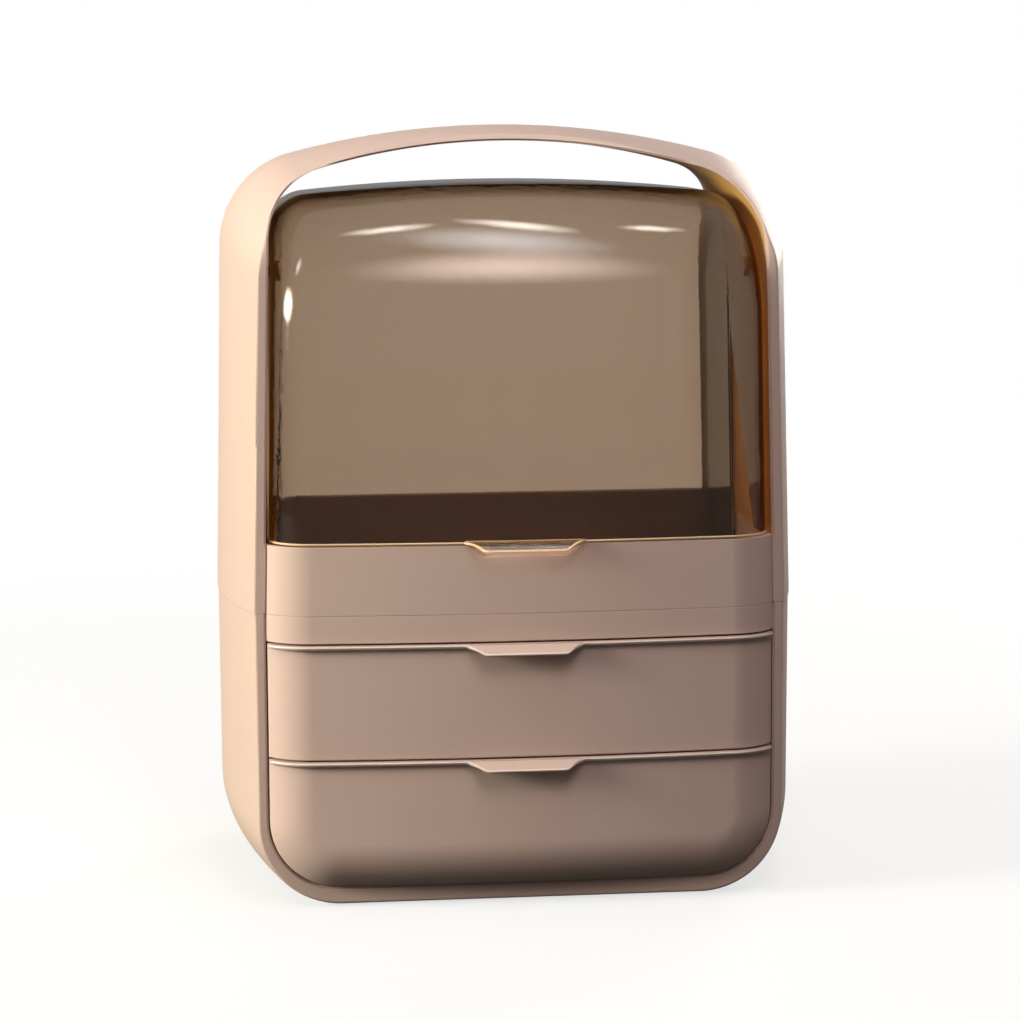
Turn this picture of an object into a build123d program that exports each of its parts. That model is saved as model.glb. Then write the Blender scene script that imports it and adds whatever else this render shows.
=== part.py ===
from build123d import *
import math
import os

os.makedirs("parts", exist_ok=True)

# Cosmetic organizer box: two bulging shells with a swept handle arch, a clear
# canopy whose front half lifts as a lid, and two drawers with bowed fronts.
# Sizes are millimetres. While the pieces are drawn, y = 0 is the flat front
# rim, y grows to the back, and z = 0 is the underside of the body.

# Body outline
rim_half = 130.0
seam_height = 144.9
body_height = 377.6
body_depth = 182.0
base_draft = 0.5
upper_draft = 4.9
side_bulge = 15.7
bulge_setback = 4.0
crown_fall = 31.0
crown_radius = 420.0
base_corner = 41.0
base_corner_growth = 8.0
shoulder_corner = 28.0
shoulder_corner_growth = 20.0
skin = 2.4
flange = 3.0
seam_step = 0.5
rim_round = 1.2
rim_reach = 4.0
rim_step = 0.8

# Side view of the handle arch
front_lean_drop = 54.6
front_lean = 1.2
rear_lean_drop = 55.6
rear_lean_reach = 70.0
rear_lean_top_drop = 18.6
rear_arch_reach = 74.0
lean_round = 30.0
arch_overrun = 5.4

# Front opening inside the rim
rim_face = 5.6
opening_base = 8.5
handle_thickness = 7.6
opening_radius = 350.0
opening_base_corner = 34.0
opening_shoulder = 36.0

# Bowed fronts
bow_middle = 16.0
bow_end = 9.0
bow_growth = 4.6
bow_round = 28.0
front_wall = 2.6
front_gap = 0.7
sill_rise = 33.5
header_drop = 13.3
reveal_depth = 20.0

# Pull lips and tabs
lip_reach = 2.0
lip_thickness = 1.7
tab_root_half = 29.0
tab_tip_half = 20.0
tab_reach = 8.0
tab_drop = 4.2
tab_thickness = 1.8
notch_depth = 1.2
notch_height = 5.4

# Liner, basin and floor of the top compartment
liner_wall = 2.0
seat_gap = 0.2
basin_setback = 8.0
floor_thickness = 2.2

# Clear canopy
finger_gap = 20.0
canopy_gap = 1.6
canopy_wall = 2.2
canopy_fall = 7.3
canopy_round = 22.0
canopy_rear_gap = 0.6
canopy_shoulder = 60.0
canopy_front_sweep = 78.0
canopy_rear_sweep = 62.0
lid_lift = 0.6
pivot_y = 32.0
pivot_drop = 42.0
lid_swing_radius = 58.0
swing_gap = 1.0
cheek_foot = 22.0
cheek_angle = 30.0

# Lid pins
pin_radius = 3.0
pin_running_gap = 0.05
pin_head_radius = 5.0
pin_head_thickness = 1.6
pin_boss_radius = 6.5
pin_boss_length = 5.0
pin_boss_wall = 1.0
pin_end_gap = 0.4

# Drawer housing
guide_wall = 2.0
shelf_thickness = 2.0
shelf_front = 10.0
shelf_lift = 1.8
ledge_width = 4.0
ledge_thickness = 1.6
strut_shares = (0.33, 0.72)
shelf_leg_x = 60.0
shelf_leg_width = 2.0

# Drawers
drawer_gap = 1.0
run_gap = 0.4
upper_front_height = 56.0
lower_front_gap = 0.8
drawer_side_gap = 2.6
drawer_wall = 1.8
drawer_front_y = 8.0
drawer_rear_gap = 10.0
box_headroom = 8.8
drawer_corner = 8.0
divider_thickness = 1.4
divider_lift = 0.3
slot_gap = 0.25
slot_rib = 1.6
slot_rib_reach = 2.0
upper_divider_count = 2
lower_divider_count = 1

# Feet and screws
foot_height = 1.2
foot_recess = 0.8
foot_radius = 7.0
foot_x_inset = 36.0
foot_y_inset = 26.0
screw_radius = 1.5
screw_head_radius = 3.0
screw_head_height = 2.0
screw_length = 24.0
thread_gap = 0.02
post_radius = 5.0
post_height = 18.0
post_bite = 1.0
post_y_inset = 45.0
front_screw_x = 70.0
front_screw_length = 12.0
front_boss_radius = 4.0

# Worked out from the sizes above
front_reach = bow_middle + tab_reach
centre_y = (body_depth - front_reach) / 2
bulge_centre = body_depth / 2 + bulge_setback
front_lean_height = body_height - front_lean_drop
rear_lean_height = body_height - rear_lean_drop
rear_lean_foot = body_depth - rear_lean_reach
rear_lean_top = body_height - rear_lean_top_drop
rear_arch_edge = body_depth - rear_arch_reach
opening_top = body_height - handle_thickness
canopy_top = opening_top - finger_gap
pivot_z = canopy_top - pivot_drop
basin_rear = body_depth - basin_setback
canopy_rear = basin_rear - canopy_rear_gap
sill_height = seam_height + sill_rise
header_bottom = seam_height - header_drop
floor_low = seam_height + seat_gap
floor_top = floor_low + floor_thickness
upper_front_top = header_bottom - drawer_gap
upper_front_low = upper_front_top - upper_front_height
lower_front_top = upper_front_low - drawer_gap
lower_front_low = opening_base + lower_front_gap
upper_shelf_top = lower_front_top + shelf_lift
upper_box_low = upper_shelf_top + run_gap
lower_box_low = opening_base + drawer_side_gap
lower_shelf_top = lower_box_low - run_gap
upper_box_height = upper_front_top - box_headroom - upper_box_low
lower_box_height = lower_front_top - box_headroom - lower_box_low
upper_screw_z = upper_box_low + upper_box_height / 2
lower_screw_z = lower_box_low + lower_box_height / 2
drawer_rear_y = body_depth - drawer_rear_gap
far = 2 * body_height
overcut = 1.0
quarter = 90.0


def xz_plane(y):
    """Plane across the box at depth y, with x to the right and z up."""
    return Plane(origin=(0, y, 0), x_dir=(1, 0, 0), z_dir=(0, -1, 0))


def arc_drop(radius, half):
    """How far an arc of this radius falls from its middle to its end."""
    return radius - math.sqrt(radius ** 2 - half ** 2)


def vertices_near(face, half, height):
    """The two mirrored corners of a face at this half width and height."""
    return [
        v for v in face.vertices()
        if abs(abs(v.X) - half) < 0.01 and abs(v.Y - height) < 0.01
    ]


def arched_face(halves, heights, radius, corners):
    """Closed outline: flat base, drafted sides, arched top, four rounds."""
    base_half, seam_half, top_half = halves
    base_z, seam_z, crown_z = heights
    shoulder_z = crown_z - arc_drop(radius, top_half)
    outline = Curve() + [
        Line((-base_half, base_z), (base_half, base_z)),
        Line((base_half, base_z), (seam_half, seam_z)),
        Line((seam_half, seam_z), (top_half, shoulder_z)),
        ThreePointArc((top_half, shoulder_z), (0, crown_z), (-top_half, shoulder_z)),
        Line((-top_half, shoulder_z), (-seam_half, seam_z)),
        Line((-seam_half, seam_z), (-base_half, base_z)),
    ]
    face = make_face(outline)
    face = fillet(vertices_near(face, base_half, base_z), corners[0])
    return fillet(vertices_near(face, top_half, shoulder_z), corners[1])


def body_section(y, inset, base_z):
    """Outline of the body at depth y, drawn in by a wall of this inset."""
    swell = 1 - ((y - bulge_centre) / bulge_centre) ** 2
    seam_half = rim_half + side_bulge * swell - inset
    crown_z = body_height - crown_fall * (1 - swell) - inset
    face = arched_face(
        (seam_half - base_draft, seam_half, seam_half - upper_draft),
        (base_z, seam_height, crown_z),
        crown_radius,
        (
            base_corner + base_corner_growth * swell - inset,
            shoulder_corner + shoulder_corner_growth * swell - inset,
        ),
    )
    return xz_plane(y) * face


def body_volume(inset, base_z, y_start, y_end):
    """The bulging body between two depths, as one smooth loft."""
    steps = 4
    depths = [y_start + (y_end - y_start) * i / steps for i in range(steps + 1)]
    return loft([body_section(y, inset, base_z) for y in depths])


def side_view(inset):
    """Side silhouette with the leaning front and rear edges of the arch."""
    lean_rise = front_lean_drop + arch_overrun
    below = -body_height
    outline = Polyline(
        (0, below),
        (0, front_lean_height),
        (front_lean * lean_rise, front_lean_height + lean_rise),
        (rear_arch_edge, front_lean_height + lean_rise),
        (rear_lean_foot, rear_lean_top),
        (body_depth, rear_lean_height),
        (body_depth, below),
        (0, below),
    )
    face = make_face(outline)
    lean_low = min(front_lean_height, rear_lean_height)
    rounds = [v for v in face.vertices() if lean_low - skin < v.Y < rear_lean_top + skin]
    face = fillet(rounds, lean_round)
    if inset > 0:
        face = offset(face, amount=-inset)
    plane = Plane(origin=(-far / 2, 0, 0), x_dir=(0, 1, 0), z_dir=(1, 0, 0))
    return extrude(plane * face, far)


def rim_edges(shape):
    """Edges along the front and rear silhouettes of the body."""
    rear_slope = rear_lean_reach / (rear_lean_top - rear_lean_height)
    chosen = []
    for edge in shape.edges():
        points = [edge @ share for share in (0, 0.25, 0.5, 0.75, 1)]
        rises = [max(0, point.Z - front_lean_height) for point in points]
        falls = [max(0, point.Z - rear_lean_height) for point in points]
        front = all(
            point.Y < front_lean * rise + rim_reach
            for point, rise in zip(points, rises)
        )
        rear = all(
            point.Y > body_depth - rear_slope * fall - rim_reach
            for point, fall in zip(points, falls)
        )
        if front or rear:
            chosen.append(edge)
    return chosen


def block(x_range, y_range, z_range):
    """Plain box between two values on each axis."""
    size = [high - low for low, high in (x_range, y_range, z_range)]
    middle = [(high + low) / 2 for low, high in (x_range, y_range, z_range)]
    return Pos(*middle) * Box(*size)


def slab(z_low, z_high):
    """Everything between two heights."""
    return block((-far, far), (-far, far), (z_low, z_high))


def opening_half(z):
    """Half width of the front opening at height z."""
    slope = upper_draft / (opening_top - seam_height)
    return rim_half - rim_face - slope * max(0.0, z - seam_height)


def opening_volume(growth, y_start, y_end):
    """The opening inside the rim, run along y and grown on all sides."""
    half = rim_half - rim_face + growth
    face = arched_face(
        (half, half, half - upper_draft),
        (opening_base - growth, seam_height, opening_top + growth),
        opening_radius,
        (opening_base_corner + growth, opening_shoulder + growth),
    )
    return extrude(xz_plane(y_end) * face, y_end - y_start)


def bowed_front(inset, y_back, z_low, z_high):
    """Slice of the bowed, round-edged block that all the fronts are cut from."""
    growth = bow_growth - inset
    edge = opening_half(0) + growth
    sag = bow_middle - bow_end
    bow_radius = (edge ** 2 + sag ** 2) / (2 * sag)
    side = edge + overcut
    front_end = inset - bow_middle + arc_drop(bow_radius, side)
    plan = Curve() + [
        ThreePointArc((-side, front_end), (0, inset - bow_middle), (side, front_end)),
        Line((side, front_end), (side, y_back)),
        Line((side, y_back), (-side, y_back)),
        Line((-side, y_back), (-side, front_end)),
    ]
    block_front = extrude(Plane.XY * make_face(plan), far)
    block_front &= opening_volume(growth, -far, y_back)
    rim_edges = [
        e for e in block_front.edges()
        if e.center().Y < inset - bow_end / 2 and e.center().Z < opening_top - opening_shoulder
    ]
    return fillet(rim_edges, bow_round - inset) & slab(z_low, z_high)


def fascia(z_low, z_high):
    """Fixed bowed strip across the front, joined to the rim at its ends."""
    strip = bowed_front(0, far, z_low, z_high)
    strip -= bowed_front(front_wall, far, z_low - overcut, z_high + overcut)
    return strip & opening_volume(liner_wall, -far, reveal_depth)


def hooded_tab(z_top, reach):
    """Pull tab: a thin hood that leans forward and down from a top edge."""
    root_y = -bow_middle + front_wall / 2
    tip_y = -bow_middle - reach
    tip_z = z_top - tab_drop
    outline = Curve() + [
        Spline(
            (root_y, z_top), (tip_y, tip_z),
            tangents=[(-1, 0), (-1, -1)],
        ),
        Line((tip_y, tip_z), (tip_y, tip_z - tab_thickness / 2)),
        Spline(
            (tip_y, tip_z - tab_thickness / 2), (root_y, z_top - tab_thickness),
            tangents=[(1, 1), (1, 0)],
        ),
        Line((root_y, z_top - tab_thickness), (root_y, z_top)),
    ]
    plane = Plane(origin=(-tab_root_half, 0, 0), x_dir=(0, 1, 0), z_dir=(1, 0, 0))
    hood = extrude(plane * make_face(outline), 2 * tab_root_half)
    flare = make_face(Polyline(
        (-tab_root_half, 0),
        (-tab_root_half, -bow_middle - lip_reach / 2),
        (-tab_tip_half, tip_y),
        (tab_tip_half, tip_y),
        (tab_root_half, -bow_middle - lip_reach / 2),
        (tab_root_half, 0),
        (-tab_root_half, 0),
    ))
    flare = fillet(vertices_near(flare, tab_tip_half, tip_y), tab_reach / 2)
    return hood & extrude(Plane.XY * flare, far)


def seam_posts():
    """Places of the four screws that pull the shells together."""
    places = []
    for y in (post_y_inset, body_depth - post_y_inset):
        swell = 1 - ((y - bulge_centre) / bulge_centre) ** 2
        wall = rim_half + side_bulge * swell - skin - seam_step
        for side in (-1, 1):
            places.append((side * (wall - post_radius + post_bite), y))
    return places


def foot_places():
    """Places of the four rubber feet."""
    foot_x = rim_half - foot_x_inset
    return [
        (x, y) for x in (-foot_x, foot_x) for y in (foot_y_inset, body_depth - foot_y_inset)
    ]


def front_step():
    """Fine step cut all round the inner edge of the front rim."""
    ahead = block((-far, far), (-far, rear_arch_edge), (-far, far))
    return (opening_volume(rim_step, -flange, rear_arch_edge) & ahead) - side_view(rim_step)


def lower_shell():
    """Drawer housing: bulging skin, flat rim and the header over the drawers."""
    shell = body_volume(seam_step, 0, 0, body_depth)
    shell = fillet(rim_edges(shell), rim_round)
    shell -= opening_volume(0, -flange, 2 * flange) + front_step()
    shell -= body_volume(seam_step + skin, skin, flange, body_depth - skin)
    shell &= slab(-skin, seam_height)
    shell += fascia(header_bottom, seam_height)
    for x, y in seam_posts():
        post = Cylinder(
            post_radius, post_height, align=(Align.CENTER, Align.CENTER, Align.MAX)
        )
        shell += Pos(x, y, seam_height) * post
    for x, y in seam_posts():
        hole = Cylinder(screw_radius + slot_gap, 2 * post_height + skin)
        shell -= Pos(x, y, seam_height) * hole
    for x, y in foot_places():
        shell -= Pos(x, y, 0) * Cylinder(foot_radius, 2 * foot_recess)
    return shell


def basin():
    """Low walls round the top compartment, between the seam and the sill."""
    half = opening_half(0)
    rear = basin_rear + skin
    ring = opening_volume(liner_wall, 0, rear) & slab(seam_height, sill_height)
    ring -= opening_volume(0, -overcut, basin_rear)
    ring += block((-half, half), (basin_rear, rear), (seam_height, sill_height))
    shelf = block(
        (-half, half), (basin_rear, body_depth - skin / 2), (sill_height - skin, sill_height)
    )
    return ring + shelf


def sill_panel():
    """Bowed panel between the lid and the upper drawer."""
    notch = make_face(Polyline(
        (-tab_root_half, sill_height + overcut),
        (-tab_tip_half, sill_height - notch_height),
        (tab_tip_half, sill_height - notch_height),
        (tab_root_half, sill_height + overcut),
        (-tab_root_half, sill_height + overcut),
    ))
    panel = fascia(seam_height, sill_height)
    return panel - extrude(xz_plane(notch_depth - bow_middle) * notch, bow_middle)


def upper_shell():
    """Upper body: skin, rim, handle arch, sill panel and compartment walls."""
    shell = body_volume(0, 0, 0, body_depth) & side_view(0)
    shell = fillet(rim_edges(shell), rim_round)
    shell -= opening_volume(0, -flange, body_depth + flange) & slab(sill_height, far)
    shell -= opening_volume(0, -flange, 2 * flange) & slab(-skin, sill_height)
    shell -= front_step()
    shell -= body_volume(skin, skin, flange / 2, body_depth - flange / 2) & side_view(flange)
    shell &= slab(seam_height, far)
    shell += basin() + sill_panel()
    for x, y in seam_posts():
        post = Cylinder(
            post_radius, post_height, align=(Align.CENTER, Align.CENTER, Align.MIN)
        )
        shell += Pos(x, y, seam_height) * post
    for x, y in seam_posts():
        hole = Cylinder(screw_radius + thread_gap, 2 * post_height - skin)
        shell -= Pos(x, y, seam_height) * hole
    return shell


def pivot_pin(x_start, x_end, radius):
    """Round bar on the lid's axis, between two places across the box."""
    bar = Cylinder(radius, abs(x_end - x_start))
    return Pos((x_start + x_end) / 2, pivot_y, pivot_z) * Rot(0, quarter, 0) * bar


def handle_liner():
    """Inner band that closes the hollow sides and the hollow handle."""
    band = opening_volume(liner_wall, 0, body_depth)
    band -= opening_volume(0, -overcut, body_depth + overcut)
    band &= side_view(flange + seat_gap / 2)
    band &= body_volume(skin + seat_gap, 0, flange, body_depth - flange)
    band &= slab(sill_height + seat_gap / 2, far)
    inner = opening_half(pivot_z)
    for side in (-1, 1):
        outer = side * (inner + liner_wall + pin_boss_length)
        band += pivot_pin(side * (inner + liner_wall / 2), outer, pin_boss_radius)
        band -= pivot_pin(side * (inner - liner_wall), outer - side * pin_boss_wall, pin_radius)
    return band


def canopy_section(side, inset):
    """Side profile of the clear canopy at its middle (0) or ends (-1, 1)."""
    half = opening_half(0) - canopy_gap - inset
    tilt = upper_draft / (opening_top - seam_height)
    ends = abs(side)
    front = inset - bow_middle + (bow_middle - bow_end) * ends
    rear = canopy_rear - inset
    top = canopy_top - inset - canopy_fall * ends - seam_height
    low = floor_top - seam_height + seat_gap - inset
    rise = canopy_shoulder - inset
    front_sweep = canopy_front_sweep - inset - front - bow_middle
    rear_sweep = canopy_rear_sweep - inset
    outline = Curve() + [
        Line((rear, low), (front, low)),
        Line((front, low), (front, top - rise)),
        EllipticalCenterArc(
            (front + front_sweep, top - rise), front_sweep, rise, quarter, arc_size=quarter
        ),
        Line((front + front_sweep, top), (rear - rear_sweep, top)),
        EllipticalCenterArc(
            (rear - rear_sweep, top - rise), rear_sweep, rise, 0, arc_size=quarter
        ),
        Line((rear, top - rise), (rear, low)),
    ]
    plane = Plane(
        origin=(side * half, 0, seam_height), x_dir=(0, 1, 0), z_dir=(1, 0, side * tilt)
    )
    return plane * make_face(outline)


def canopy_volume(inset):
    """Clear canopy as a solid, with its long side edges rounded."""
    volume = loft([canopy_section(side, inset) for side in (-1, 0, 1)])
    half = opening_half(0) - canopy_gap - inset
    edges = [
        e for e in volume.edges()
        if abs(e.center().X) > half - canopy_fall and e.center().Z > floor_top + overcut
    ]
    return fillet(edges, canopy_round - inset)


def canopy_shell():
    """The canopy's thin clear wall, open at the bottom."""
    return canopy_volume(0) - canopy_volume(canopy_wall)


def side_prism(points):
    """Prism across the whole box from points of its side view."""
    plane = Plane(origin=(-far / 2, 0, 0), x_dir=(0, 1, 0), z_dir=(1, 0, 0))
    return extrude(plane * make_face(Polyline(*points, points[0])), far)


def swing_cylinder(radius):
    """Cylinder on the lid's axis, across the whole box."""
    return Pos(0, pivot_y, pivot_z) * Rot(0, quarter, 0) * Cylinder(radius, far)


def lid(shell):
    """Front half of the canopy, with cheeks that reach back to the pivots."""
    angle = math.radians(cheek_angle)
    knee = (
        pivot_y + lid_swing_radius * math.cos(angle),
        pivot_z - lid_swing_radius * math.sin(angle),
    )
    zone = side_prism([
        (-far, -skin), (cheek_foot, -skin), (cheek_foot, sill_height), knee,
        (pivot_y, pivot_z), (pivot_y, far), (-far, far),
    ])
    panel = shell & (zone + swing_cylinder(lid_swing_radius))
    panel &= slab(sill_height + lid_lift, far)
    tab_z = sill_height + lid_lift + tab_thickness
    panel += hooded_tab(tab_z, tab_reach)
    panel -= swing_cylinder(pin_radius + pin_running_gap)
    return panel


def rear_hood(shell):
    """Fixed rear half of the canopy: back window, sides and roof."""
    swing = lid_swing_radius + swing_gap
    zone = side_prism([
        (pivot_y, pivot_z), (pivot_y + swing, pivot_z), (pivot_y + swing, -skin),
        (far, -skin), (far, far), (pivot_y, far),
    ])
    return shell & (zone - swing_cylinder(swing))


def lid_pin(side):
    """Headed pin, pressed into the liner, that the lid turns on."""
    inner = opening_half(pivot_z)
    cheek = inner - canopy_gap - canopy_wall - pin_end_gap
    boss_end = inner + liner_wall + pin_boss_length - pin_boss_wall
    pin = pivot_pin(side * cheek, side * boss_end, pin_radius)
    head_end = cheek - pin_head_thickness
    return pin + pivot_pin(side * head_end, side * cheek, pin_head_radius)


def compartment_floor():
    """Floor plate of the top compartment, shaped to the bowed panel."""
    plate = bowed_front(
        front_wall + seat_gap, basin_rear - seat_gap, floor_low, floor_top
    )
    return plate & opening_volume(-seat_gap, -far, far)


def one_side(side):
    """Everything on one side of the middle plane."""
    return block(sorted((0, side * far)), (-far, far), (-far, far))


def side_guide(side):
    """Upright panel inside the housing that guides both drawers."""
    inner = opening_half(0) + seat_gap / 2
    front = flange + seat_gap
    rear = body_depth - skin - seat_gap
    ring = opening_volume(guide_wall + seat_gap / 2, front, rear)
    ring -= opening_volume(seat_gap / 2, -overcut, body_depth)
    tall = block((-far, far), (reveal_depth + seat_gap, far), (0, seam_height - seat_gap))
    panel = ring & (tall + slab(0, header_bottom - seat_gap))
    panel -= block(
        (opening_base_corner - inner, inner - opening_base_corner),
        (-far, far), (0, opening_base_corner),
    )
    ledge_top = upper_shelf_top - shelf_thickness - seat_gap / 2
    panel += block(
        (side * inner - ledge_width, side * inner + ledge_width),
        (shelf_front, rear),
        (ledge_top - ledge_thickness, ledge_top),
    ) & opening_volume(guide_wall, -far, far)
    hollow = body_volume(seam_step + skin + seat_gap, skin + seat_gap, front, rear)
    for share in strut_shares:
        z = seam_height * share
        strut = slab(z, z + ledge_thickness) & hollow
        panel += strut - opening_volume(guide_wall / 2, -far, far)
    return panel & one_side(side)


def shelf_plate(top, half):
    """Plate that a drawer slides on."""
    return block(
        (-half, half), (shelf_front, body_depth - skin - seat_gap),
        (top - shelf_thickness, top),
    )


def middle_shelf():
    """Shelf under the upper drawer, resting on the ledges of the guides."""
    return shelf_plate(upper_shelf_top, opening_half(0) - seat_gap / 2)


def bottom_shelf():
    """Shelf under the lower drawer, on legs that stand on the housing."""
    half = opening_half(0) - opening_base_corner
    plate = shelf_plate(lower_shelf_top, half)
    for x in (-shelf_leg_x, 0, shelf_leg_x):
        plate += block(
            (x - shelf_leg_width / 2, x + shelf_leg_width / 2),
            (shelf_front, body_depth - skin - seat_gap),
            (skin + seat_gap / 2, lower_shelf_top - shelf_thickness / 2),
        )
    return plate


def screw_row(y, z, radius, length):
    """Pair of round bars along y, one at each front screw."""
    bars = []
    for side in (-1, 1):
        place = Pos(side * front_screw_x, y + length / 2, z)
        bars.append(place * Rot(quarter, 0, 0) * Cylinder(radius, length))
    return bars


def drawer_front(z_low, z_high, screw_z):
    """Bowed drawer front with its pull lip and tab, hollow behind."""
    outer = opening_volume(-front_gap, -far, drawer_front_y)
    inner = opening_volume(-front_gap - front_wall, -far, drawer_front_y + overcut)
    solid = bowed_front(0, reveal_depth, z_low, z_high) & outer
    front = solid - (
        bowed_front(front_wall, reveal_depth, z_low + front_wall, z_high - front_wall) & inner
    )
    lip = bowed_front(-lip_reach, reveal_depth, z_high - lip_thickness, z_high)
    front += lip & opening_volume(-front_gap, -far, -front_wall)
    front += hooded_tab(z_high, tab_reach)
    for boss in screw_row(-bow_middle, screw_z, front_boss_radius, bow_middle + drawer_front_y):
        front += boss & solid
    start = drawer_front_y + drawer_wall - front_screw_length
    for hole in screw_row(start, screw_z, screw_radius + thread_gap, front_screw_length):
        front -= hole
    return front


def drawer_box(z_low, height, screw_z, divider_count):
    """Open tray with rounded corners and slotted ribs for its dividers."""
    half = opening_half(0) - drawer_side_gap
    depth = drawer_rear_y - drawer_front_y
    middle_y = (drawer_rear_y + drawer_front_y) / 2
    outer = Pos(0, middle_y) * RectangleRounded(2 * half, depth, drawer_corner)
    inner = Pos(0, middle_y) * RectangleRounded(
        2 * (half - drawer_wall), depth - 2 * drawer_wall, drawer_corner - drawer_wall
    )
    hollow = extrude(Plane.XY.offset(z_low + drawer_wall) * inner, height)
    hollow &= opening_volume(-drawer_side_gap - drawer_wall, -far, far)
    tray = extrude(Plane.XY.offset(z_low) * outer, height)
    tray &= opening_volume(-drawer_side_gap, -far, far)
    tray -= hollow
    for x in divider_places(divider_count):
        for y in (drawer_front_y + drawer_wall, drawer_rear_y - drawer_wall):
            inward = 1 if y < middle_y else -1
            for edge in (-1, 1):
                rib_x = x + edge * (divider_thickness / 2 + slot_gap + slot_rib / 2)
                tray += block(
                    (rib_x - slot_rib / 2, rib_x + slot_rib / 2),
                    sorted((y - inward * drawer_wall / 2, y + inward * slot_rib_reach)),
                    (z_low + drawer_wall / 2, z_low + height - drawer_wall),
                )
    hole_length = 2 * (drawer_wall + overcut)
    for hole in screw_row(
        drawer_front_y - overcut, screw_z, screw_radius + slot_gap, hole_length
    ):
        tray -= hole
    return tray


def divider_places(count):
    """Evenly spaced places of the dividers across a drawer."""
    half = opening_half(0) - drawer_side_gap
    return [2 * half * (i + 1) / (count + 1) - half for i in range(count)]


def drawer_dividers(z_low, height, count):
    """Removable upright dividers that stand in the slotted ribs."""
    plates = []
    base = z_low + drawer_wall + divider_lift
    for x in divider_places(count):
        plates.append(block(
            (x - divider_thickness / 2, x + divider_thickness / 2),
            (drawer_front_y + drawer_wall + slot_gap, drawer_rear_y - drawer_wall - slot_gap),
            (base, z_low + height - 2 * drawer_wall),
        ))
    return Part() + plates


def front_screws(z):
    """Two screws, driven from inside a drawer, that hold its front."""
    head_y = drawer_front_y + drawer_wall
    shanks = screw_row(head_y - front_screw_length + slot_gap, z, screw_radius, front_screw_length)
    heads = screw_row(head_y, z, screw_head_radius, screw_head_height)
    return Part() + shanks + heads


def foot_pads():
    """Four rubber feet, set into shallow pockets under the body."""
    feet = []
    for x, y in foot_places():
        foot = Cylinder(
            foot_radius - seat_gap / 2, foot_height + foot_recess,
            align=(Align.CENTER, Align.CENTER, Align.MIN),
        )
        feet.append(Pos(x, y, -foot_height) * foot)
    return Part() + feet


def shell_screws():
    """Four screws that pull the two shells together at the seam."""
    screws = []
    for x, y in seam_posts():
        head_top = seam_height - post_height
        shank = Cylinder(
            screw_radius, screw_length,
            align=(Align.CENTER, Align.CENTER, Align.MIN),
        )
        head = Cylinder(
            screw_head_radius, screw_head_height,
            align=(Align.CENTER, Align.CENTER, Align.MAX),
        )
        screws.append(Pos(x, y, head_top) * (shank + head))
    return Part() + screws


def save(name, piece):
    """Move a piece to the box's own frame and write its file."""
    placed = Pos(0, -centre_y, foot_height) * piece
    export_step(placed, f"parts/{name}.step")


canopy = canopy_shell()
save("lower_shell", lower_shell())
save("upper_shell", upper_shell())
save("handle_liner", handle_liner())
save("lid", lid(canopy))
save("rear_hood", rear_hood(canopy))
save("lid_pin_left", lid_pin(-1))
save("lid_pin_right", lid_pin(1))
save("compartment_floor", compartment_floor())
save("side_guide_left", side_guide(-1))
save("side_guide_right", side_guide(1))
save("middle_shelf", middle_shelf())
save("bottom_shelf", bottom_shelf())
save("upper_drawer_front", drawer_front(upper_front_low, upper_front_top, upper_screw_z))
save("lower_drawer_front", drawer_front(lower_front_low, lower_front_top, lower_screw_z))
save("upper_drawer_box", drawer_box(
    upper_box_low, upper_box_height, upper_screw_z, upper_divider_count
))
save("lower_drawer_box", drawer_box(
    lower_box_low, lower_box_height, lower_screw_z, lower_divider_count
))
save("upper_drawer_dividers", drawer_dividers(
    upper_box_low, upper_box_height, upper_divider_count
))
save("lower_drawer_divider", drawer_dividers(
    lower_box_low, lower_box_height, lower_divider_count
))
save("upper_front_screws", front_screws(upper_screw_z))
save("lower_front_screws", front_screws(lower_screw_z))
save("foot_pads", foot_pads())
save("shell_screws", shell_screws())
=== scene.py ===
import math
import bmesh
import bpy
from mathutils import Matrix, Vector


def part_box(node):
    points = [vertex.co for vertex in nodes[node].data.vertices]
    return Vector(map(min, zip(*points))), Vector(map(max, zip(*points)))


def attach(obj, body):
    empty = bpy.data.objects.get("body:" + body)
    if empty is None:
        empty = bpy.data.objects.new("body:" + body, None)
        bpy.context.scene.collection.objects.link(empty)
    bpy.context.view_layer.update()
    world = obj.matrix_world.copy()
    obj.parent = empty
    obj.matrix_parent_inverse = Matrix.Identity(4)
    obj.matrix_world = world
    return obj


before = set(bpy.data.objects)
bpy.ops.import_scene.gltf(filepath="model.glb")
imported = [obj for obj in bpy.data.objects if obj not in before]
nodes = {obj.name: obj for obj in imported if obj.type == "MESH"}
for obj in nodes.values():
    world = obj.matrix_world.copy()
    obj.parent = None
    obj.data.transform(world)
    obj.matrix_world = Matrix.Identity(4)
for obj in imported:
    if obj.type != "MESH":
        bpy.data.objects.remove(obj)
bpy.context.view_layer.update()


# Body shells.
# Two mouldings of dusty pink ABS with a fine satin spark texture. They meet at
# a seam that runs round the sides, the back and the bowed front panel.
SHELL_COLOUR = (0.650, 0.487, 0.425, 1.0)
SHELL_SHADE = (0.630, 0.468, 0.407, 1.0)
SHELL_EDGE = 0.0008
SATIN_GLOSS = 0.22
PLAIN_GLOSS = 0.5
PLASTIC_IOR = 1.49
EDGE_SAMPLES = 4
# Textures are given as features to the metre, layers of detail and roughness.
MOTTLING = (14.0, 3.0)
SMEARS = (55.0, 4.0, 0.6)
SMEAR_POLISHED = 0.05
SMEAR_RUBBED = 0.07
SPARK_GRAIN = (1900.0, 2.0, 0.65)
SPARK_DEPTH = 0.00012


def object_position(tree):
    """Coordinates in metres, the same on every piece."""
    return tree.nodes.new("ShaderNodeTexCoord").outputs["Object"]


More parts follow.
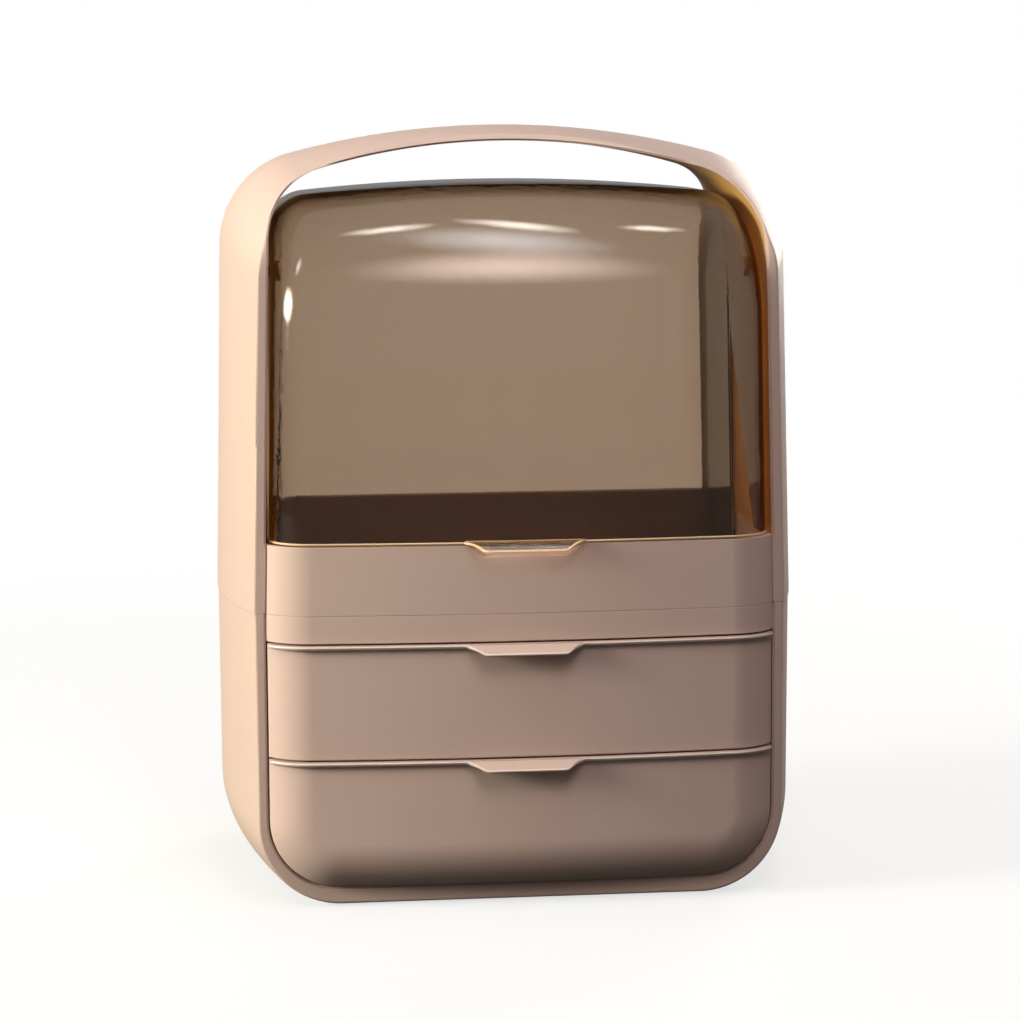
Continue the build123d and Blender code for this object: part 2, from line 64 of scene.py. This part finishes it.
def noise(tree, place, scale, detail, roughness=0.5):
    """Noise texture at this many features to the metre."""
    node = tree.nodes.new("ShaderNodeTexNoise")
    node.inputs["Scale"].default_value = scale
    node.inputs["Detail"].default_value = detail
    node.inputs["Roughness"].default_value = roughness
    tree.links.new(place, node.inputs["Vector"])
    return node.outputs["Fac"]


def remap(tree, value, low, high):
    """Stretches a 0 to 1 value to another range."""
    node = tree.nodes.new("ShaderNodeMapRange")
    node.inputs["To Min"].default_value = low
    node.inputs["To Max"].default_value = high
    tree.links.new(value, node.inputs["Value"])
    return node.outputs["Result"]


def blend_colours(tree, factor, first, second):
    """Mixes two colours by a factor."""
    node = tree.nodes.new("ShaderNodeMix")
    node.data_type = "RGBA"
    node.inputs["A"].default_value = first
    node.inputs["B"].default_value = second
    tree.links.new(factor, node.inputs["Factor"])
    return node.outputs["Result"]


def bump(tree, height, strength, distance):
    """Bump from a height texture, distance in metres."""
    node = tree.nodes.new("ShaderNodeBump")
    node.inputs["Strength"].default_value = strength
    node.inputs["Distance"].default_value = distance
    tree.links.new(height, node.inputs["Height"])
    return node


def soft_edges(tree, relief, radius):
    """Lets sharp edges catch the light as a moulded round of this radius would."""
    node = tree.nodes.new("ShaderNodeBevel")
    node.samples = EDGE_SAMPLES
    node.inputs["Radius"].default_value = radius
    tree.links.new(node.outputs["Normal"], relief.inputs["Normal"])


def moulded_plastic(name, colour, shade, roughness, spark, edge, gloss=PLAIN_GLOSS):
    """Moulded plastic with spark texture, slight mottling and uneven gloss."""
    material = bpy.data.materials.new(name)
    material.use_nodes = True
    tree = material.node_tree
    shader = tree.nodes["Principled BSDF"]
    place = object_position(tree)
    cloud = noise(tree, place, *MOTTLING)
    grain = noise(tree, place, *SPARK_GRAIN)
    smear = noise(tree, place, *SMEARS)
    tree.links.new(blend_colours(tree, cloud, colour, shade), shader.inputs["Base Color"])
    gloss_patches = remap(tree, smear, roughness - SMEAR_POLISHED, roughness + SMEAR_RUBBED)
    tree.links.new(gloss_patches, shader.inputs["Roughness"])
    relief = bump(tree, grain, spark, SPARK_DEPTH)
    soft_edges(tree, relief, edge)
    tree.links.new(relief.outputs["Normal"], shader.inputs["Normal"])
    shader.inputs["IOR"].default_value = PLASTIC_IOR
    shader.inputs["Specular IOR Level"].default_value = gloss
    return material


def dress(name, material):
    """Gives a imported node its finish."""
    for slot in nodes[name].material_slots:
        slot.material = material


shell_plastic = moulded_plastic(
    "shell_plastic", SHELL_COLOUR, SHELL_SHADE,
    roughness=0.42, spark=0.55, edge=SHELL_EDGE, gloss=SATIN_GLOSS,
)
dress("upper_shell", shell_plastic)
dress("lower_shell", shell_plastic)


# Handle liner, in painted shade.
# Inner band of glossy plastic that closes the hollow sides and the underside of the
# handle. Its amber brown is painted shade: the warm shade on the arch's inner surfaces, bare and
# through the clear lid.
LINER_PAINTED_SHADE = (0.680, 0.385, 0.130, 1.0)
LINER_PAINTED_SHADE_TONE = (0.570, 0.305, 0.097, 1.0)
LINER_EDGE = 0.0003
LINER_GLOSS = 0.12
liner_painted_shade_plastic = moulded_plastic(
    "liner_painted_shade_plastic", LINER_PAINTED_SHADE, LINER_PAINTED_SHADE_TONE,
    roughness=0.45, spark=0.20, edge=LINER_EDGE, gloss=LINER_GLOSS,
)
dress("handle_liner", liner_painted_shade_plastic)


# Clear canopy: lid and rear hood.
# Injection moulded smoke brown acrylic, 2.2 mm thick and polished. The colour
# is in the plastic itself, so it deepens where the wall is seen at a slant.
SMOKE_SURFACE = (0.955, 0.945, 0.935, 1.0)
SMOKE_DEPTH = (0.440, 0.262, 0.060, 1.0)
SMOKE_DENSITY = 430.0
SMOKE_SHADOW = (0.970, 0.960, 0.950, 1.0)
SMOKE_IOR = 1.47
HAZE = (60.0, 4.0, 0.6)
HAZE_POLISHED = 0.01
HAZE_RUBBED = 0.05
RIPPLE = (22.0, 1.0)
RIPPLE_STRENGTH = 0.04
RIPPLE_DEPTH = 0.0003


def clear_smoke(name):
    """Polished clear plastic with its tint in the thickness of the wall."""
    material = bpy.data.materials.new(name)
    material.use_nodes = True
    tree = material.node_tree
    shader = tree.nodes["Principled BSDF"]
    place = object_position(tree)
    haze = noise(tree, place, *HAZE)
    ripple = noise(tree, place, *RIPPLE)
    tree.links.new(remap(tree, haze, HAZE_POLISHED, HAZE_RUBBED), shader.inputs["Roughness"])
    relief = bump(tree, ripple, RIPPLE_STRENGTH, RIPPLE_DEPTH)
    tree.links.new(relief.outputs["Normal"], shader.inputs["Normal"])
    shader.inputs["Base Color"].default_value = SMOKE_SURFACE
    shader.inputs["Transmission Weight"].default_value = 1.0
    shader.inputs["IOR"].default_value = SMOKE_IOR
    passing = tree.nodes.new("ShaderNodeBsdfTransparent")
    passing.inputs["Color"].default_value = SMOKE_SHADOW
    paths = tree.nodes.new("ShaderNodeLightPath")
    blend = tree.nodes.new("ShaderNodeMixShader")
    output = tree.nodes["Material Output"]
    tree.links.new(paths.outputs["Is Shadow Ray"], blend.inputs["Fac"])
    tree.links.new(shader.outputs["BSDF"], blend.inputs[1])
    tree.links.new(passing.outputs["BSDF"], blend.inputs[2])
    tree.links.new(blend.outputs["Shader"], output.inputs["Surface"])
    depth = tree.nodes.new("ShaderNodeVolumeAbsorption")
    depth.inputs["Color"].default_value = SMOKE_DEPTH
    depth.inputs["Density"].default_value = SMOKE_DENSITY
    tree.links.new(depth.outputs["Volume"], output.inputs["Volume"])
    return material


smoke = clear_smoke("smoke_acrylic")
dress("lid", smoke)
dress("rear_hood", smoke)


# Lid edge beads, with a painted golden highlight.
# Fine rounded beads along the lower edge of the lid and the lip of its pull tab,
# polished and lighter than the wall. Their golden colour is a painted highlight, for the lines of
# light along these edges.
GOLDEN_GLINT_COLOUR = (0.780, 0.570, 0.340, 1.0)
GOLDEN_GLINT_TONE = (0.680, 0.460, 0.250, 1.0)
BEAD_EDGE = 0.0001
BEAD_RADIUS = 0.0006
BEAD_HEIGHT = 0.1808
BEAD_FRONT = -0.0950
BEAD_SAG = 0.0070
BEAD_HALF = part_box("lid")[1][0]
BEAD_CORNER = 0.0220
BEAD_END = math.radians(75)
BEAD_STEPS = 40
BEAD_SIDES = 8
TAB_TOP = 0.1820
TAB_EDGE = (
    (0.0290, -0.0957, -0.0010), (0.0264, -0.0975, -0.0013), (0.0242, -0.0991, -0.0019),
    (0.0222, -0.1006, -0.0028), (0.0209, -0.1016, -0.0036), (0.0203, -0.1020, -0.0040),
    (0.0196, -0.1023, -0.0042), (0.0186, -0.1024, -0.0043),
)


def both_ways(half):
    """A path of which the right half is given, from its middle outwards."""
    return [(-x, y, z) for x, y, z in reversed(half)] + half


def bead_path():
    """Points round one corner, along the bowed front and round the other."""
    bow = (BEAD_HALF ** 2 + BEAD_SAG ** 2) / (2 * BEAD_SAG)
    centre_y = BEAD_FRONT + bow
    corner_x = BEAD_HALF - BEAD_CORNER
    corner_y = centre_y - math.sqrt((bow - BEAD_CORNER) ** 2 - corner_x ** 2)
    turn = math.asin(corner_x / (bow - BEAD_CORNER))
    right = []
    for step in range(1, BEAD_STEPS + 1):
        angle = turn * step / BEAD_STEPS
        right.append((bow * math.sin(angle), centre_y - bow * math.cos(angle), BEAD_HEIGHT))
    for step in range(1, BEAD_STEPS + 1):
        angle = turn + (BEAD_END - turn) * step / BEAD_STEPS
        right.append((
            corner_x + BEAD_CORNER * math.sin(angle),
            corner_y - BEAD_CORNER * math.cos(angle),
            BEAD_HEIGHT,
        ))
    return both_ways(right)


def round_bar(name, path, radius, sides):
    """Round bar swept along a path, closed at both ends."""
    shape = bmesh.new()
    rings = []
    last = len(path) - 1
    for index, place in enumerate(path):
        along = Vector(path[min(index + 1, last)]) - Vector(path[max(index - 1, 0)])
        across = along.cross(Vector((0, 0, 1))).normalized()
        upward = across.cross(along).normalized()
        ring = []
        for side in range(sides):
            angle = 2 * math.pi * side / sides
            offset = across * math.cos(angle) + upward * math.sin(angle)
            ring.append(shape.verts.new(Vector(place) + offset * radius))
        rings.append(ring)
    for first, second in zip(rings, rings[1:]):
        for side in range(sides):
            after = (side + 1) % sides
            shape.faces.new((first[side], first[after], second[after], second[side]))
    shape.faces.new(list(reversed(rings[0])))
    shape.faces.new(rings[-1])
    bmesh.ops.recalc_face_normals(shape, faces=shape.faces)
    for face in shape.faces:
        face.smooth = len(face.verts) == 4
    mesh = bpy.data.meshes.new(name)
    shape.to_mesh(mesh)
    shape.free()
    bar = bpy.data.objects.new(name, mesh)
    bpy.context.scene.collection.objects.link(bar)
    return bar


# Pale golden colour: painted highlight along the lid's edges.
glint_bead_plastic = moulded_plastic(
    "glint_bead_plastic", GOLDEN_GLINT_COLOUR, GOLDEN_GLINT_TONE, roughness=0.16, spark=0.03, edge=BEAD_EDGE
)
tab_path = both_ways([(x, y, TAB_TOP + z) for x, y, z in reversed(TAB_EDGE)])
for bead in (
    round_bar("lid_edge_glint_bead", bead_path(), BEAD_RADIUS, BEAD_SIDES),
    round_bar("lid_tab_glint_bead", tab_path, BEAD_RADIUS, BEAD_SIDES),
):
    bead.data.materials.append(glint_bead_plastic)
    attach(bead, "lid")


# Lid pins.
# Two short headed pins of brown plastic, pressed into the liner, that the lid
# turns on.
PIN_COLOUR = (0.300, 0.170, 0.090, 1.0)
PIN_SHADE = (0.240, 0.130, 0.070, 1.0)
PIN_EDGE = 0.0003
pin_plastic = moulded_plastic(
    "pin_plastic", PIN_COLOUR, PIN_SHADE, roughness=0.30, spark=0.05, edge=PIN_EDGE
)
dress("lid_pin_left", pin_plastic)
dress("lid_pin_right", pin_plastic)


# Compartment floor, guides and shelves.
# Plain inner mouldings in a paler and duller pink, with a coarser texture
# because they are hidden when the box is shut.
INNER_COLOUR = (0.600, 0.430, 0.355, 1.0)
INNER_SHADE = (0.520, 0.365, 0.300, 1.0)
INNER_EDGE = 0.0003
inner_plastic = moulded_plastic(
    "inner_plastic", INNER_COLOUR, INNER_SHADE, roughness=0.55, spark=0.5, edge=INNER_EDGE
)
for name in (
    "compartment_floor", "side_guide_left", "side_guide_right", "middle_shelf", "bottom_shelf"
):
    dress(name, inner_plastic)


# Drawers.
# Bowed fronts in the body's pink, screwed to open trays of a paler plastic
# with loose dividers.
FRONT_COLOUR = (0.635, 0.473, 0.418, 1.0)
FRONT_SHADE = (0.613, 0.453, 0.400, 1.0)
FRONT_EDGE = 0.0013
TRAY_COLOUR = (0.660, 0.500, 0.425, 1.0)
TRAY_SHADE = (0.600, 0.440, 0.370, 1.0)
TRAY_EDGE = 0.0004
front_plastic = moulded_plastic(
    "front_plastic", FRONT_COLOUR, FRONT_SHADE,
    roughness=0.45, spark=0.65, edge=FRONT_EDGE, gloss=SATIN_GLOSS,
)
tray_plastic = moulded_plastic(
    "tray_plastic", TRAY_COLOUR, TRAY_SHADE, roughness=0.50, spark=0.3, edge=TRAY_EDGE
)
dress("upper_drawer_front", front_plastic)
dress("lower_drawer_front", front_plastic)
for name in (
    "upper_drawer_box", "lower_drawer_box", "upper_drawer_dividers", "lower_drawer_divider"
):
    dress(name, tray_plastic)


# Drawer lip beads, with a painted highlight.
# A fine polished bead along the nose of each drawer's lip and round its tab, paler
# than the satin front. Its pale colour is a painted highlight, for the light that the lip's edge
# catches from above.
LIP_HIGHLIGHT_COLOUR = (0.880, 0.760, 0.680, 1.0)
LIP_HIGHLIGHT_TONE = (0.830, 0.705, 0.625, 1.0)
LIP_FRONT = -0.0970
LIP_BOW = 1.2286
LIP_CORNER = 0.02955
LIP_CORNER_X = 0.10105
LIP_CORNER_Y = -0.06324
LIP_CORNER_FROM = math.radians(4.8)
LIP_CORNER_TO = math.radians(48.0)
LIP_FROM_X = 0.0286
LIP_TO_X = 0.1030
LIP_INSET = 0.00035
LIP_DROP = 0.0007
LIP_STEPS = 24


def lip_path(top):
    """Points round the tab, along the bowed lip and round its corner."""
    half = [(x, y, top + z) for x, y, z in reversed(TAB_EDGE[1:])]
    for step in range(LIP_STEPS + 1):
        x = LIP_FROM_X + (LIP_TO_X - LIP_FROM_X) * step / LIP_STEPS
        y = LIP_FRONT + LIP_INSET + LIP_BOW - math.sqrt(LIP_BOW ** 2 - x ** 2)
        half.append((x, y, top - LIP_DROP))
    reach = LIP_CORNER - LIP_INSET
    for step in range(1, LIP_STEPS + 1):
        angle = LIP_CORNER_FROM + (LIP_CORNER_TO - LIP_CORNER_FROM) * step / LIP_STEPS
        half.append((
            LIP_CORNER_X + reach * math.sin(angle),
            LIP_CORNER_Y - reach * math.cos(angle),
            top - LIP_DROP,
        ))
    return both_ways(half)


# Pale colour: painted highlight along the drawer lips.
lip_highlight_plastic = moulded_plastic(
    "lip_highlight_plastic", LIP_HIGHLIGHT_COLOUR, LIP_HIGHLIGHT_TONE, roughness=0.22, spark=0.03, edge=BEAD_EDGE
)
for drawer in ("upper_drawer", "lower_drawer"):
    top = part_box(drawer + "_front")[1][2]
    bead = round_bar(drawer + "_lip_highlight_bead", lip_path(top), BEAD_RADIUS, BEAD_SIDES)
    bead.data.materials.append(lip_highlight_plastic)
    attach(bead, drawer)


# Screws and feet.
# Zinc plated steel screws that hold the shells together and the drawer fronts
# to their trays, and four soft rubber feet pressed under the lower shell.
STEEL_PALE = (0.62, 0.62, 0.60, 1.0)
STEEL_DARK = (0.48, 0.48, 0.49, 1.0)
TURNING_MARKS = (600.0, 3.0)
STEEL_POLISHED = 0.22
STEEL_RUBBED = 0.38
RUBBER_COLOUR = (0.060, 0.050, 0.046, 1.0)
RUBBER_SHADE = (0.040, 0.034, 0.032, 1.0)
RUBBER_EDGE = 0.0003


def plated_steel(name):
    """Zinc plated steel with faint turning marks."""
    material = bpy.data.materials.new(name)
    material.use_nodes = True
    tree = material.node_tree
    shader = tree.nodes["Principled BSDF"]
    place = object_position(tree)
    marks = noise(tree, place, *TURNING_MARKS)
    plating = blend_colours(tree, marks, STEEL_PALE, STEEL_DARK)
    tree.links.new(plating, shader.inputs["Base Color"])
    tree.links.new(remap(tree, marks, STEEL_POLISHED, STEEL_RUBBED), shader.inputs["Roughness"])
    shader.inputs["Metallic"].default_value = 1.0
    return material


steel = plated_steel("plated_steel")
for name in ("shell_screws", "upper_front_screws", "lower_front_screws"):
    dress(name, steel)
rubber = moulded_plastic(
    "foot_rubber", RUBBER_COLOUR, RUBBER_SHADE, roughness=0.75, spark=0.6, edge=RUBBER_EDGE
)
dress("foot_pads", rubber)


# Floor and backdrop.
# One wide pale sheet under the box that runs out into the white around it. It
# keeps the shadow of the box and throws little light back up.
SHEET_WHITE = (0.900, 0.890, 0.880, 1.0)
SHEET_DULL = (0.025, 0.022, 0.020, 1.0)
SHEET_GLOW = 0.70
SHEET_ROUGHNESS = 0.9
SHEET_GLOSS = 0.1
SHEET_REACH = 3.0
SHEET_PLAIN_FROM = 0.35
SHEET_PLAIN_TO = 1.10
GLOSS_SHARE = 0.12


def bright_rays(tree):
    """1 on rays to the eye or through glass, and less on rays to a gloss."""
    paths = tree.nodes.new("ShaderNodeLightPath")
    gloss = tree.nodes.new("ShaderNodeMath")
    gloss.operation = "MULTIPLY"
    gloss.inputs[1].default_value = GLOSS_SHARE
    tree.links.new(paths.outputs["Is Glossy Ray"], gloss.inputs[0])
    total = gloss.outputs["Value"]
    for ray in ("Is Camera Ray", "Is Transmission Ray"):
        either = tree.nodes.new("ShaderNodeMath")
        either.operation = "MAXIMUM"
        tree.links.new(total, either.inputs[0])
        tree.links.new(paths.outputs[ray], either.inputs[1])
        total = either.outputs["Value"]
    return total


def pale_sheet(name):
    """Pale paper that glows white to the eye and fades out with distance."""
    material = bpy.data.materials.new(name)
    material.use_nodes = True
    tree = material.node_tree
    shader = tree.nodes["Principled BSDF"]
    shader.inputs["Roughness"].default_value = SHEET_ROUGHNESS
    shader.inputs["Specular IOR Level"].default_value = SHEET_GLOSS
    seen = bright_rays(tree)
    tree.links.new(blend_colours(tree, seen, SHEET_DULL, SHEET_WHITE), shader.inputs["Base Color"])
    reach = tree.nodes.new("ShaderNodeVectorMath")
    reach.operation = "LENGTH"
    tree.links.new(object_position(tree), reach.inputs[0])
    fade = tree.nodes.new("ShaderNodeMapRange")
    fade.inputs["From Min"].default_value = SHEET_PLAIN_FROM
    fade.inputs["From Max"].default_value = SHEET_PLAIN_TO
    fade.inputs["To Min"].default_value = SHEET_GLOW
    fade.interpolation_type = "SMOOTHSTEP"
    tree.links.new(reach.outputs["Value"], fade.inputs["Value"])
    share = tree.nodes.new("ShaderNodeMath")
    share.operation = "MULTIPLY"
    tree.links.new(fade.outputs["Result"], share.inputs[0])
    tree.links.new(seen, share.inputs[1])
    glow = tree.nodes.new("ShaderNodeEmission")
    blend = tree.nodes.new("ShaderNodeMixShader")
    tree.links.new(share.outputs["Value"], blend.inputs["Fac"])
    tree.links.new(shader.outputs["BSDF"], blend.inputs[1])
    tree.links.new(glow.outputs["Emission"], blend.inputs[2])
    tree.links.new(blend.outputs["Shader"], tree.nodes["Material Output"].inputs["Surface"])
    return material


floor_mesh = bpy.data.meshes.new("floor")
floor_mesh.from_pydata(
    [(-SHEET_REACH, -SHEET_REACH, 0), (SHEET_REACH, -SHEET_REACH, 0),
     (SHEET_REACH, SHEET_REACH, 0), (-SHEET_REACH, SHEET_REACH, 0)],
    [], [(0, 1, 2, 3)],
)
floor = bpy.data.objects.new("floor", floor_mesh)
floor_mesh.materials.append(pale_sheet("floor_sheet"))
bpy.context.scene.collection.objects.link(floor)


# Light.
# A large warm lamp on the left, a paler one behind on the right, a cool one
# overhead, a rosy one in front, small ones for glints in the canopy, and a sky.
BOX_MIDDLE = (0, 0, 0.19)
WARM = (1.0, 0.97, 0.80)
COOL = (0.81, 0.89, 1.0)
PALE_GOLD = (1.0, 0.99, 0.90)
ROSE = (1.0, 0.85, 0.79)
NEUTRAL = (1.0, 0.97, 0.94)
# Name, place, width and depth, watts, colour, and whether the edges fade out.
LAMPS = (
    ("key_left", (-1.68, -0.38, 0.60), (0.95, 0.95), 180.0, WARM, True),
    ("rear_right", (1.15, 1.50, 0.70), (0.90, 0.90), 23.0, PALE_GOLD, False),
    ("top_window", (0.12, -0.35, 1.62), (0.52, 1.10), 14.0, COOL, True),
    ("front_window", (0.12, -1.00, 1.38), (0.90, 1.20), 33.0, ROSE, True),
    ("slot_left", (-0.11, 0.08, 1.60), (0.34, 0.16), 2.38, NEUTRAL, True),
    ("slot_middle", (0.15, 0.08, 1.60), (0.54, 0.16), 3.78, NEUTRAL, True),
    ("slot_right", (0.42, 0.08, 1.60), (0.22, 0.16), 1.54, NEUTRAL, True),
    ("side_slot", (-0.90, -0.40, 1.30), (0.30, 0.55), 6.0, PALE_GOLD, True),
)
SKY_COLOUR = (1.0, 0.97, 0.94, 1.0)
SKY_STRENGTH = 0.17
SKY_SEEN = (1.0, 1.0, 1.0, 1.0)


def soft_lamp(name, place, size, power, colour):
    """Oblong area lamp aimed at the middle of the box."""
    lamp = bpy.data.lights.new(name, "AREA")
    lamp.shape = "RECTANGLE"
    lamp.size, lamp.size_y = size
    lamp.energy = power
    lamp.color = colour
    holder = bpy.data.objects.new(name, lamp)
    holder.location = place
    aim = Vector(BOX_MIDDLE) - Vector(place)
    holder.rotation_euler = aim.to_track_quat("-Z", "Y").to_euler()
    bpy.context.scene.collection.objects.link(holder)
    return lamp


def fade_out(lamp):
    """Dims a lamp from its middle to its edges, for soft-edged highlights."""
    lamp.use_nodes = True
    tree = lamp.node_tree
    spread = tree.nodes.new("ShaderNodeNewGeometry")
    centred = tree.nodes.new("ShaderNodeVectorMath")
    centred.operation = "MULTIPLY_ADD"
    centred.inputs[1].default_value = (1, 1, 0)
    centred.inputs[2].default_value = (-0.5, -0.5, 0)
    tree.links.new(spread.outputs["Parametric"], centred.inputs[0])
    away = tree.nodes.new("ShaderNodeVectorMath")
    away.operation = "LENGTH"
    tree.links.new(centred.outputs["Vector"], away.inputs[0])
    fall = tree.nodes.new("ShaderNodeMapRange")
    fall.interpolation_type = "SMOOTHSTEP"
    fall.inputs["From Max"].default_value = 0.5
    fall.inputs["To Min"].default_value = 1.0
    fall.inputs["To Max"].default_value = 0.0
    tree.links.new(away.outputs["Value"], fall.inputs["Value"])
    tree.links.new(fall.outputs["Result"], tree.nodes["Emission"].inputs["Strength"])


for name, place, size, power, colour, fading in LAMPS:
    lamp = soft_lamp(name, place, size, power, colour)
    if fading:
        fade_out(lamp)

sky = bpy.data.worlds.new("pale_sky")
sky.use_nodes = True
bpy.context.scene.world = sky
sky_tree = sky.node_tree
sky_plain = sky_tree.nodes["Background"]
sky_plain.inputs["Color"].default_value = SKY_COLOUR
sky_plain.inputs["Strength"].default_value = SKY_STRENGTH
sky_seen = sky_tree.nodes.new("ShaderNodeBackground")
sky_seen.inputs["Color"].default_value = SKY_SEEN
sky_mix = sky_tree.nodes.new("ShaderNodeMixShader")
sky_tree.links.new(bright_rays(sky_tree), sky_mix.inputs["Fac"])
sky_tree.links.new(sky_plain.outputs["Background"], sky_mix.inputs[1])
sky_tree.links.new(sky_seen.outputs["Background"], sky_mix.inputs[2])
sky_tree.links.new(sky_mix.outputs["Shader"], sky_tree.nodes["World Output"].inputs["Surface"])


# Camera.
# Fitted to the straight edges and the outline of the box: turned to its left
# by the azimuth, looking down by the elevation.
AZIMUTH = math.radians(6.408)
ELEVATION = math.radians(7.826)
ROLL = math.radians(-0.269)
DISTANCE = 1.562171
FOCUS_POINT = Vector((0.005211, 0.016, 0.18124))
FOCAL_PIXELS = 3025.863
IMAGE_PIXELS = 1020
SENSOR_WIDTH = 36.0
back_dir = Vector((
    -math.sin(AZIMUTH) * math.cos(ELEVATION),
    -math.cos(AZIMUTH) * math.cos(ELEVATION),
    math.sin(ELEVATION),
))
right_dir = (-back_dir).cross(Vector((0, 0, 1))).normalized()
up_dir = right_dir.cross(-back_dir)
tilted_right = right_dir * math.cos(ROLL) + up_dir * math.sin(ROLL)
tilted_up = up_dir * math.cos(ROLL) - right_dir * math.sin(ROLL)
camera_data = bpy.data.cameras.new("camera")
camera_data.sensor_width = SENSOR_WIDTH
camera_data.lens = SENSOR_WIDTH * FOCAL_PIXELS / IMAGE_PIXELS
camera = bpy.data.objects.new("camera", camera_data)
turn = Matrix((tilted_right, tilted_up, back_dir)).transposed()
camera.matrix_world = Matrix.Translation(FOCUS_POINT + back_dir * DISTANCE) @ turn.to_4x4()
bpy.context.scene.collection.objects.link(camera)
bpy.context.scene.camera = camera
bpy.context.scene.view_settings.view_transform = "Standard"
